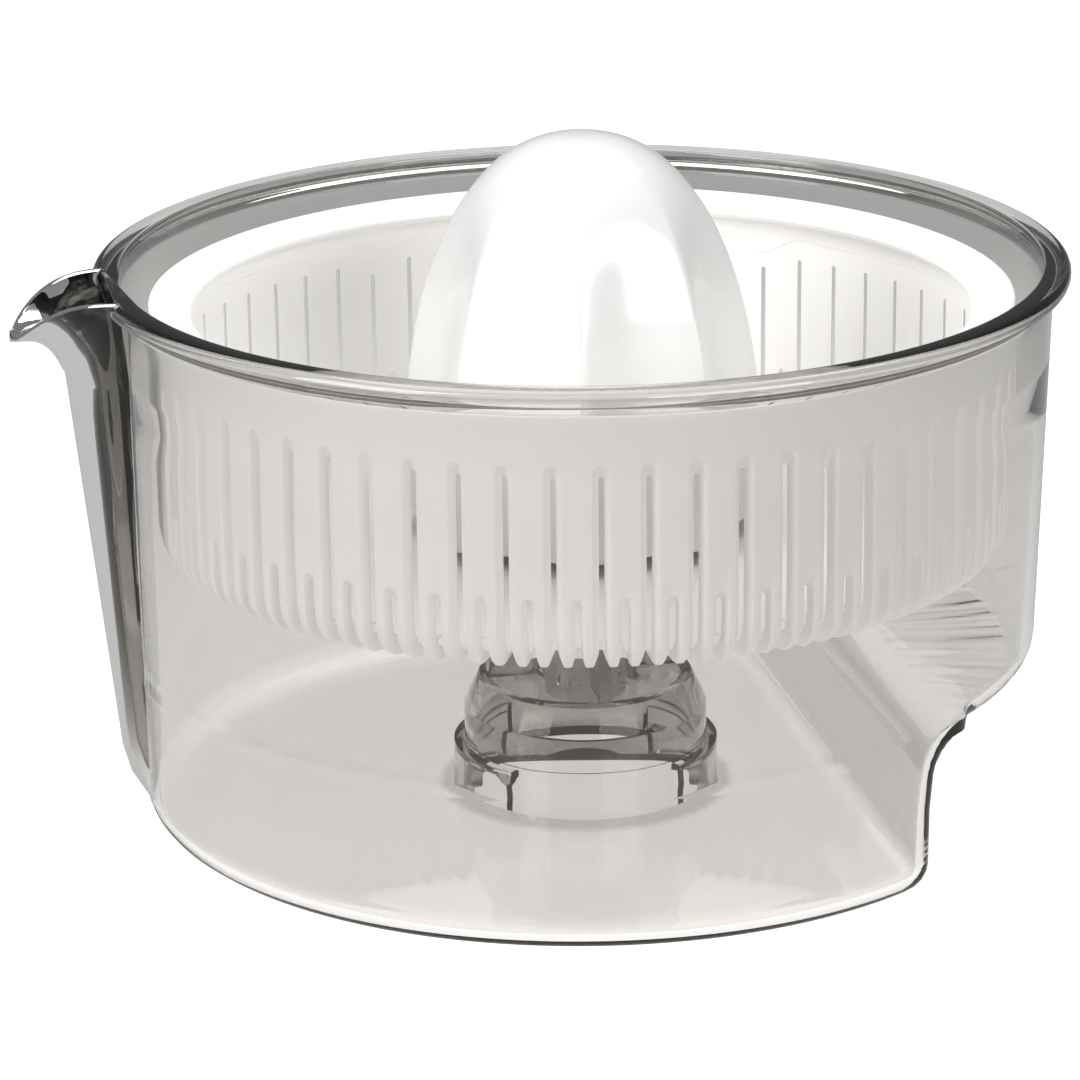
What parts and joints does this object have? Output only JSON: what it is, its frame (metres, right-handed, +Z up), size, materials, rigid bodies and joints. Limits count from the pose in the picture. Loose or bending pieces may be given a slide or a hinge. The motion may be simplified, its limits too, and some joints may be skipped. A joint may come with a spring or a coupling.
{
  "type": "citrus press juicer",
  "caption": "Clear pouring bowl with a bayonet drive socket, a slotted white strainer basket and a fluted reamer cone turned by a central shaft.",
  "frame": {"origin": "the drive axis at the plane of the bowl's flat underside", "axes": "+Z up along the drive axis, -X towards the pouring spout, +X towards the raised shelf of the bowl"},
  "size_m": [0.213, 0.196, 0.1387],
  "materials": {
    "clear_bowl": "clear moulded plastic with a faint smoky tint, polished",
    "white_strainer": "satin white moulding",
    "white_reamer": "satin white moulding",
    "bearing_plastic": "natural acetal, turned",
    "stainless": "ground stainless steel",
    "dark_dog": "grey moulded coupling",
    "seal_rubber": "moulded silicone"
  },
  "bodies": {
    "bowl_body": {"bowl_floor": "clear_bowl", "bowl_step": "clear_bowl", "bowl_wall": "clear_bowl", "spout": "clear_bowl", "drive_post": "clear_bowl", "lower_bush": "bearing_plastic", "upper_bush": "bearing_plastic", "shaft_seal": "seal_rubber"},
    "strainer_body": {"strainer_basket": "white_strainer"},
    "drive_body": {"drive_shaft": "stainless", "drive_dog": "dark_dog", "dog_pin": "stainless", "thrust_washer": "bearing_plastic", "slinger_washer": "stainless", "retaining_clip": "stainless", "cone_driver": "bearing_plastic", "driver_pin": "stainless"},
    "bearing_body": {"cone_bush": "bearing_plastic"},
    "cone_body": {"reamer_cone": "white_reamer", "cone_clip": "stainless"}
  },
  "joints": [
    {"name": "shaft_spin", "type": "hinge", "parent": "bowl_body", "child": "drive_body", "pos_m": [0, 0, 0.04], "axis": [0, 0, 1], "continuous": true},
    {"name": "basket_lift", "type": "slide", "parent": "bowl_body", "child": "strainer_body", "axis": [0, 0, 1], "range_m": [0, 0.09]},
    {"name": "cone_lift", "type": "slide", "parent": "strainer_body", "child": "bearing_body", "axis": [0, 0, 1], "range_m": [0, 0.06]},
    {"name": "cone_spin", "type": "hinge", "parent": "bearing_body", "child": "cone_body", "pos_m": [0, 0, 0.07], "axis": [0, 0, 1], "continuous": true}
  ],
  "couplings": [
    {"joint": "cone_spin", "follows": "shaft_spin", "ratio": 1}
  ]
}
